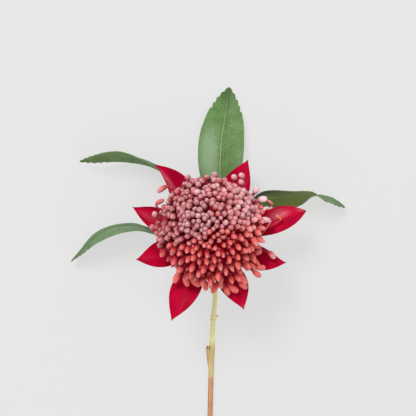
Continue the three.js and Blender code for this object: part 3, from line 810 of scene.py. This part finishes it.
def bract_skin(name, deep, bright, painted_sheen):
    """Crimson with fine lengthwise nerves, with a painted pink sheen where the spots of painted light
    are above 0 and painted shade where they are below.
    """
    skin = new_material(name, Roughness=0.6, Specular_IOR_Level=0.04)
    wire = Wire(skin.node_tree)
    straight = wire.noted("straight")
    spread = straight.parts()[2]
    sheen_and_shade, share = wire.noted("painted_light_and_share").parts()[:2]
    nerve = straight.scaled(1, 0.05, 0).noise(1.3, detail=4, roughness=0.6)
    cloud = straight.noise(0.06)
    crimson = cloud.ramp(0.3, 0.7).blend(deep, bright)
    lined = (nerve.ramp(0.5, 0.3) * 0.45).blend(crimson, deep)
    lit = (nerve.ramp(0.5, 0.72) * 0.16 + sheen_and_shade * nerve.ramp(0.2, 0.6) * 0.55).ramp(0, 1)
    # painted pink sheen and painted shade from the spots of painted light
    sheened_and_shaded = lit.blend((sheen_and_shade * -0.8).ramp(0, 1).blend(lined, BRACT_DARK), painted_sheen)
    rim = spread.size().ramp(0.93, 1) * 0.7
    tipped = share.ramp(0.94, 1) * (1 - sheen_and_shade.ramp(0, 0.4)) * 0.6
    feed(skin, Base_Color=(rim + tipped).ramp(0, 1).blend(sheened_and_shaded, BRACT_DARK),
         Normal=nerve.bump(0.4, 0.00035))
    return skin


bract_face = bract_skin(
    "bract_face", deep=tint(164, 0, 38), bright=tint(200, 0, 54), painted_sheen=tint(236, 130, 148))
bract_back = bract_skin(
    "bract_back", deep=tint(146, 4, 36), bright=tint(184, 16, 52), painted_sheen=tint(206, 104, 118))

for bract in BRACTS:
    path = lay_path(list(bract_points(bract)))
    length = path.data.splines[0].calc_length()
    rows = []
    for i in range(BRACT_ROWS + 1):
        share = smooth(i / BRACT_ROWS * 0.5 + 0.5, 0, 1) * 2 - 1
        rise = max(smooth(share, 0.35, 0.8), 0.02)
        rows.append((length * share, bract_half_width(bract, share), rise))
    blade = flat_blade(rows, BRACT_COLUMNS, BRACT_CREASES)
    note_blade(blade, length, lambda share: bract_half_width(bract, share), bract["painted_highlights_and_shades"])
    paint(blade, bract_face, bract_back)
    bend(blade, path)
    thicken(blade, BRACT_THICKNESS)
    apply_all(blade)
    round_off(60)
    bpy.data.objects.remove(path)
    blade.name = blade.data.name = bract["name"] + "_blade"
    lay_in_head(blade)
    set_down(blade, [bract["name"]])


# The head. Some three hundred buds on stalks crowd a dome, with young buds low between them: frosted
# pink in the upper part and coral almonds below, each part on its own half of the fleshy core. At the
# rim a few florets stand out on longer stalks or curl.
FLORETS = 335
FLORET_TRIES = 50
CROWDED_FROM = 188
CORAL_SPACING = 0.38
YOUNG = 260
YOUNG_TRIES = 25
YOUNG_TOP = 0.93
DOME = {"right": 39.5, "up": 43, "axial": 35, "height": 6.5}
DOME_EDGE = math.radians(88)
DOME_TIP = Vector((-0.03, -0.27, 0.96)).normalized()
CORE = {"radius": 34, "axial": 28.5, "floor": 0.5}
CORE_SIDES = 48
CORE_RINGS = 24
ROOT_DEPTH = 0.85
BUD_SIDES = 8
BUD_RINGS = 7
BUD_LEVELS = (0.2, 0.6, 0.85)
LOBE_DEPTH = 0.93
FLORET_GROWTH = 1.03
TIP_RADIUS = 2.35
RIM_RADIUS = 2.85
TIP_PITCH = 3.8
FROSTED_PITCH = 4.8
CORAL_PITCH = 6.1
ROUND_STRETCH = 1.13
ALMOND_STRETCH = 1.95
ALMOND_SLIMMING = 0.09
YOUNG_RADIUS = 1.9
YOUNG_STRETCH = 1.5
YOUNG_HEIGHT = 0.88
YOUNG_FROST = 0.15
STALK_RADIUS = 0.75
STALK_SIDES = 7
STALK_PROFILE = ((0, STALK_RADIUS), (0.4, 1), (0.68, 1.7), (1, 2))
STRAY_ROOM = 5
STRAY_SIDES = 8
STRAY_SHARES = (0, 0.08, 0.2, 0.35, 0.5, 0.65, 0.8, 0.91, 0.98)
PARTING = Vector((0.24, -0.97, 0.09)).normalized()
FLORET_LEAN = Vector((0, -0.5, 0.5))
CLEARANCE = 0.3
GREY_MIDDLE = Vector((-0.16, -0.07, 0.98)).normalized()
PALE_SIDE = Vector((0.82, 0.35, 0.45)).normalized()
dome_centre = in_head(0, 0, DOME["height"])


def draw(i, series):
    """A repeatable draw between -1 and 1."""
    wild = math.sin(i * 12.9898 + series * 78.233) * 43758.5453
    return 2 * (wild - math.floor(wild)) - 1


def on_dome(direction, proud=1):
    """The place on the dome in a direction of the head's own frame."""
    return in_head(
        proud * DOME["right"] * direction.x, proud * DOME["up"] * direction.y,
        DOME["height"] + proud * DOME["axial"] * direction.z)


def spot_at(direction):
    """A place for a floret, with the size and the spacing of those round it."""
    radial = in_head(*direction) - in_head(0, 0, 0)
    toward_coral = radial.dot(PARTING)
    grown = smooth(direction.angle(DOME_TIP), 0.12, 0.75)
    lower = smooth(toward_coral, -0.05, 0.6)
    return {
        "direction": direction, "place": on_dome(direction),
        "radial": radial, "toward_coral": toward_coral,
        "radius": lerp(TIP_RADIUS, RIM_RADIUS, grown),
        "pitch": lerp(TIP_PITCH, lerp(FROSTED_PITCH, CORAL_PITCH, lower), grown),
    }


def room_at(spot, taken, least):
    """The room round a spot, as a share of the spacing. It stops where that falls below the least."""
    room = math.inf
    for other in taken:
        apart = (spot["place"] - other["place"]).length / (spot["pitch"] + other["pitch"])
        room = min(room, apart)
        if room < least:
            break
    return room


def roomiest(i, tries, top, series, taken, spacing=0):
    """The roomiest of some trial places on the dome. Spacing leaves the coral part less full."""
    chosen, most_room = None, -1
    for trial in range(i * tries + 1, (i + 1) * tries + 1):
        out = lerp(math.cos(DOME_EDGE), top, (draw(trial, series) + 1) / 2)
        azimuth = math.pi * draw(trial, series + 1)
        across = math.sqrt(1 - out * out)
        spot = spot_at(Vector((across * math.cos(azimuth), across * math.sin(azimuth), out)))
        spot["pitch"] *= 1 + spacing * smooth(spot["toward_coral"], -0.1, 0.3)
        room = room_at(spot, taken, most_room)
        if room > most_room:
            chosen, most_room = spot, room
    return chosen


def from_middle(place):
    """The way from the dome's middle to a place, by the axes of the head's own frame."""
    return Matrix.Rotation(HEAD_LEAN, 3, "X") @ (place - dome_centre)


def root_toward(place):
    """Where a stalk is rooted in the core, toward a place above it."""
    away = from_middle(place)
    scaled = Vector((away.x / CORE["radius"], away.y / CORE["radius"], away.z / CORE["axial"]))
    away *= ROOT_DEPTH / scaled.length
    return in_head(away.x, away.y, max(DOME["height"] + away.z, CORE["floor"] + 4))


def stray(radius, frost, *places, pale=0, fleshy=1, length=None):
    """A floret that stands out of the rim. Its places are its neck and its tip, with the bend of its
    stalk first where it is curled, and its length is the bud's where that is short of the neck."""
    points = [Vector(place) for place in places]
    middle = points[-2].lerp(points[-1], 0.5)
    return {
        "radius": radius, "frost": frost, "pale": pale, "fleshy": fleshy,
        "length": length or (points[-1] - points[-2]).length,
        "bends": [root_toward(points[0])] + points, "place": middle, "pitch": STRAY_ROOM,
        "toward_coral": (middle - dome_centre).dot(PARTING),
    }


# the left edge first, then round the rim from the top over the right side to the bottom
strays = [
    stray(2.2, 0.45, (-28, 37.3, 38), (-33.7, 40.5, 37), (-42.5, 36.1, 36), pale=0.4),
    stray(1.9, 0.4, (-39.2, 18.9, 40), (-43.2, 24.9, 40), (-36.8, 30.2, 43), pale=0.2),
    stray(2.5, 0.9, (-41.4, 16.1, 44), (-45.3, 19.7, 47), pale=0.35, length=5.4),
    stray(2.6, 0.6, (-43, 5, 45), (-47.3, 9.4, 47), length=5.4),
    stray(2.7, 0.5, (-39, 4.2, 46), (-44.2, 2.6, 47)),
    stray(2.5, 0.9, (-16.5, 43.4, 34), (-18.4, 49.9, 37), pale=0.35, length=5.4),
    stray(2.6, 0.8, (3.6, 45, 32), (3.8, 52, 35), pale=0.45, length=5.6),
    stray(2.5, 0.9, (20.9, 43.4, 36), (18.4, 49.7, 40), pale=0.6, length=5.4),
    stray(2.4, 0.9, (27.6, 44.1, 38), (24, 51.1, 41), pale=0.5, length=5.4),
    stray(2.4, 0.8, (25.6, 39.6, 42), (24.2, 45.8, 45), pale=0.4, length=5.4),
    stray(2.5, 1, (34.7, 34.5, 42), (38.1, 39.9, 45), pale=1),
    stray(2.5, 1, (37.8, 29.3, 47), (45.3, 30.8, 49), pale=1.4),
    stray(1, 0.25, (44.5, 20.5, 44), (49.7, 25.3, 45), (45.7, 29.7, 47), pale=0.6, fleshy=1.8),
    stray(2.2, 0.4, (38.9, 18.5, 45), (42.5, 21.3, 47)),
    stray(2.3, 0, (36, 24, 42), (42.6, 23.6, 43)),
    stray(2.4, 0.9, (31.5, 27.5, 41), (35.6, 29.6, 46), pale=0.6, length=5.4),
    stray(2.3, 0.45, (34, 24.5, 42), (38.6, 26.3, 46)),
    stray(2.2, 0.64, (46.5, 5, 46), (48.1, 11.8, 47), (40.5, 14.7, 49), pale=1, fleshy=1.8),
    stray(1.6, 0.1, (53.5, 9.5, 38), (56.9, 13.3, 38), (52.5, 17.7, 40), fleshy=1.4),
    stray(2.2, 0.5, (46, -11.2, 50), (51.6, -16.9, 50), pale=0.5),
    stray(2.3, 0.35, (33.9, -12.2, 56), (41, -10.7, 56)),
    stray(2.4, 0.3, (35.5, -22.9, 57), (43.8, -24.1, 57)),
    stray(2.2, 0.2, (33.5, -26, 57), (40, -31.2, 57)),
    stray(1.9, 0.1, (25, -19.8, 60), (30.5, -26, 59)),
    stray(2, 0.2, (29.5, -19.4, 60), (35.8, -24.4, 59)),
    stray(2.8, 0.1, (21.2, -26.2, 62), (28.7, -36.9, 60)),
    stray(2.5, 0.25, (22.4, -34.2, 60), (29, -40.2, 58)),
    stray(2.8, 0.15, (14.1, -36.5, 61), (22, -42.9, 60)),
    stray(2.3, 0.1, (11.4, -37.7, 61), (14.9, -45.2, 60)),
    stray(2.4, 0, (5.6, -34.6, 60), (1.6, -44, 58)),
    stray(2.3, 0.1, (2.9, -26, 63), (2, -35, 62)),
    stray(2.4, 0.05, (-4, -33, 61), (-3.2, -41.8, 59)),
    stray(2.5, 0.1, (-15.4, -29.8, 60), (-8.3, -38.6, 59)),
    stray(2.4, 0, (-19.7, -29.5, 58), (-17.8, -38.7, 57)),
    stray(2.5, 0.05, (-24.1, -27.2, 57), (-28.5, -36, 56)),
]
taken = list(strays)
for i in range(FLORETS):
    spacing = CORAL_SPACING if i >= CROWDED_FROM else 0
    taken.append(roomiest(i, FLORET_TRIES, 1, 1, taken, spacing))
florets = taken[len(strays):]
youngest = []
for i in range(YOUNG):
    youngest.append(roomiest(i, YOUNG_TRIES, YOUNG_TOP, 21, youngest))


def note_bud(shape, share):
    """Notes how far up its bud each place is, below 0 on the stalk, and makes room for the dye."""
    note(shape, "bud", lambda place: (share(place), 0, 0))
    note(shape, "bloom", lambda place: (0, 0, 0))


def bud_shape(tip, foot):
    """A bud one unit in radius with four shallow lobes, narrowed toward its tip and its foot."""
    bpy.ops.mesh.primitive_uv_sphere_add(segments=BUD_SIDES, ring_count=BUD_RINGS, radius=1)
    shape = bpy.context.object
    edit(shape)
    for level in BUD_LEVELS:
        pick(shape, lambda place: place.z > level)
        bpy.ops.transform.resize(value=(tip, tip, 1), center_override=(0, 0, 0))
        pick(shape, lambda place: place.z < -level)
        bpy.ops.transform.resize(value=(foot, foot, 1), center_override=(0, 0, 0))
    pick(shape, lambda place: min(abs(place.x), abs(place.y)) < 0.001 and abs(place.z) < 0.95)
    bpy.ops.transform.resize(value=(LOBE_DEPTH, LOBE_DEPTH, 1), center_override=(0, 0, 0))
    only(shape)
    bpy.ops.object.shade_smooth()
    note_bud(shape, lambda place: (place.z + 1) / 2)
    return shape


round_bud = bud_shape(0.97, 0.95)
almond_bud = bud_shape(0.88, 0.93)

# a stalk one unit long that widens toward its bud
stalk = grown_tube(STALK_SIDES, STALK_PROFILE)
stalk.rotation_euler = (math.pi / 2, 0, 0)
bpy.ops.object.transform_apply()
bpy.ops.object.shade_smooth()
note_bud(stalk, lambda place: place.z - 1)


def dye(shape, tone_and_side_light, frost, direction, pale=0, fleshy=0):
    """Notes a floret's tone, with any painted light on its side of the head added to it, its depth of
    frost, how grey and how pale that frost is, and how fleshy its stalk is."""
    grey = 1 - smooth(direction.angle(GREY_MIDDLE), 0.1, 0.62)
    pale = max(pale, 0.17 * (1 + tone_and_side_light) * smooth(direction.dot(PALE_SIDE), 0.7, 0.95))
    for kept in shape.data.attributes["bud"].data:
        kept.vector = (kept.vector[0], tone_and_side_light, fleshy)
    for kept in shape.data.attributes["bloom"].data:
        kept.vector = (frost, grey, pale)


def copy_of(shape, place, aim, roll, size):
    """A copy of a shape with its own mesh, set at its place."""
    copy = shape.copy()
    copy.data = shape.data.copy()
    bpy.context.scene.collection.objects.link(copy)
    turn = aim.to_track_quat("Z", "Y") @ Quaternion((0, 0, 1), roll)
    copy.matrix_world = Matrix.LocRotScale(place, turn, Vector(size))
    return copy


def dome_floret(i, spot):
    """A floret of the dome: a bud, and the stalk that joins it to the core."""
    toward_coral, direction = spot["toward_coral"], spot["direction"]
    aside = 1 - direction.z
    almond = smooth(toward_coral, 0, 0.35)
    radius = FLORET_GROWTH * spot["radius"] * (1 + 0.1 * draw(i, 3)) * (1 - ALMOND_SLIMMING * almond)
    lying = max(draw(i, 14), 0) * smooth(aside, 0.06, 0.35)
    round_stretch = ROUND_STRETCH + 0.35 * lying + 0.17 * draw(i, 14) ** 3
    half = radius * lerp(round_stretch, ALMOND_STRETCH + 0.2 * draw(i, 14), almond)
    aim = spot["radial"] + FLORET_LEAN * smooth(aside, 0.02, 0.3)
    astray = lerp(0.14, 0.34, smooth(aside, 0.05, 0.5)) + 0.35 * lying * (1 - almond)
    aim = (aim + astray * Vector((draw(i, 5), draw(i, 6), draw(i, 7)))).normalized()
    place = on_dome(direction, 1 + 0.07 * draw(i, 4))
    bud = copy_of(
        almond_bud if toward_coral > 0 else round_bud, place, aim, math.pi * draw(i, 10),
        (radius, radius * (1 + 0.1 * draw(i, 11)), half))
    root = root_toward(place)
    run = place - aim * 0.6 * half - root
    neck = copy_of(stalk, root, run, 0, (1, 1, run.length))
    # the upper part is frosted, with a few bare buds, and the coral is not
    frost = lerp(0.8, 0.12, smooth(toward_coral, -0.22, 0.28)) + 0.22 * draw(i, 8)
    if draw(i, 9) > 0.86:
        frost -= 0.4
    for part in (bud, neck):
        # the tone rises toward the right side of the head: partly a warmer colour there and partly
        # painted light that evens out the shade from the lamp at the upper left
        dye(part, draw(i, 12) + 2 * direction.x, frost, direction, max(3 * draw(i, 15) - 2.2, 0))
    return [bud, neck]


def young_bud(i, spot):
    """A young bud that sits low on the core."""
    radius = YOUNG_RADIUS + 0.3 * draw(i, 23)
    bud = copy_of(
        round_bud, on_dome(spot["direction"], YOUNG_HEIGHT + 0.03 * draw(i, 24)), spot["radial"],
        math.pi * draw(i, 25), (radius, radius, YOUNG_STRETCH * radius))
    frost = 0 if spot["toward_coral"] > 0 else YOUNG_FROST
    dye(bud, draw(i, 26) - 1.6, frost, spot["direction"])
    return [bud]


def stray_floret(i, stray):
    """A floret whose stalk and bud are grown as one straight tube and then bent."""
    path = lay_path(stray["bends"])
    length = stray["length"]
    neck_at = path.data.splines[0].calc_length() - length
    rings = [(0, STALK_RADIUS), (0.5 * neck_at, STALK_RADIUS)]
    for share in STRAY_SHARES:
        swell = math.sqrt(1 - abs(2 * share - 1.04) ** 2.2 / 1.1)
        if share < 0.5:
            swell = max(swell, 0.5)
        rings.append((neck_at + share * length, stray["radius"] * swell))
    floret = grown_tube(STRAY_SIDES, rings)
    def up_bud(place):
        past_neck = place.y - neck_at
        return past_neck / (length if past_neck > 0 else neck_at)
    note_bud(floret, up_bud)
    bend(floret, path)
    apply_all(floret)
    bpy.ops.object.shade_smooth()
    bpy.data.objects.remove(path)
    paint(floret, floret_skin)
    outward = from_middle(stray["place"]).normalized()
    dye(floret, draw(i, 13), stray["frost"], outward, stray["pale"], stray["fleshy"])
    return [floret]


# coral flesh under a pink powder, paler toward the tip and crimson toward the foot, partly its own
# colour and
# partly painted light: painted shade low between the buds and a painted highlight cap at each tip
floret_skin = new_material("bud_skin", Specular_IOR_Level=0.2)
wire = Wire(floret_skin.node_tree)
share, tone_and_side_light, fleshy = wire.noted("bud").parts()
frost, grey, pale = wire.noted("bloom").parts()
place = wire.node("TexCoord", out="Object")
powder = place.noise(1200, detail=3, roughness=0.7)
cloud = place.noise(260)
# paleness up each bud, partly the bud's own colour and partly painted light: darker low between the
# buds, brighter at the tip
high = (share + fleshy * 0.5 + (cloud - 0.5) * 0.6 + tone_and_side_light * 0.12).ramp(0.2, 1.05)
flesh = high.blend(tint(178, 22, 48), tint(243, 114, 106))
pink = high.blend(tint(120, 12, 34), tint(189, 82, 93))
greyed = (grey * 0.45).blend(pink, tint(160, 122, 126))
paled = (pale * high * 0.85).blend(greyed, tint(252, 208, 214))
worn = (frost + (powder - 0.5) * 1.8 + (share - 0.6) * 0.5 + fleshy * 0.1).ramp(0.05, 0.95)
frosted = worn.blend(flesh, paled)
# white powder specks on the upper part of each bud, and a painted highlight cap at its tip
specks = powder.ramp(0.48, 0.67) * share.ramp(0.35, 0.85) * (0.35 + frost * 0.6)
specks_and_highlight_cap = (specks + share.ramp(0.72, 1) * (0.12 + frost * 0.13)).ramp(0, 1)
glinting = specks_and_highlight_cap.blend(frosted, tint(252, 216, 214))
# painted shade at the foot of each bud, where it sinks between its neighbours, less on the strays'
# fleshy stalks
shaded_foot = (share.ramp(0.42, -0.1) * (1 - fleshy * 0.6)).blend(glinting, tint(172, 34, 56))
stalk_tint = frost.ramp(0.2, 0.6).blend(tint(170, 12, 44), tint(140, 4, 32))
deep = (share.ramp(-0.2, -0.75) * (1 - fleshy * 0.5)).blend(shaded_foot, stalk_tint)
feed(floret_skin, Base_Color=deep, Roughness=frost.ramp(0, 0.5) * 0.3 + 0.45,
     Normal=powder.bump(0.5, 0.0003))

core_skin = new_material("head_core", Roughness=0.8, Specular_IOR_Level=0.05)
lumps = Wire(core_skin.node_tree).node("TexCoord", out="Object").noise(420, detail=3)
feed(core_skin, Base_Color=lumps.ramp(0.3, 0.7).blend(tint(140, 0, 26), tint(186, 6, 44)),
     Normal=lumps.bump(0.6, 0.0006))


def core_half(sign):
    """The half of the core on one side of the parting, closed where it faces the other half."""
    bpy.ops.mesh.primitive_uv_sphere_add(segments=CORE_SIDES, ring_count=CORE_RINGS, radius=1)
    core = bpy.context.object
    edit(core)
    bpy.ops.transform.resize(value=(CORE["radius"], CORE["radius"], CORE["axial"]))
    bpy.ops.transform.translate(value=(0, 0, DOME["height"]))
    bpy.ops.mesh.bisect(
        plane_co=(0, 0, CORE["floor"]), plane_no=(0, 0, 1), use_fill=True, clear_inner=True)
    only(core)
    lay_in_head(core)
    bpy.ops.object.transform_apply()
    edit(core)
    bpy.ops.mesh.bisect(
        plane_co=dome_centre + PARTING * sign * CLEARANCE / 2, plane_no=PARTING * sign,
        use_fill=True, clear_inner=True)
    only(core)
    round_off(40)
    paint(core, core_skin)
    return core


for shape in (round_bud, almond_bud, stalk):
    paint(shape, floret_skin)
for node, coral, sign in (("head_frosted", False, -1), ("head_coral", True, 1)):
    pieces = [core_half(sign)]
    for grow, spots in ((dome_floret, florets), (young_bud, youngest), (stray_floret, strays)):
        for i, spot in enumerate(spots):
            if (spot["toward_coral"] > 0) == coral:
                pieces += grow(i, spot)
    set_down(join(node + "_florets", pieces), [node])
for shape in (round_bud, almond_bud, stalk):
    bpy.data.objects.remove(shape)
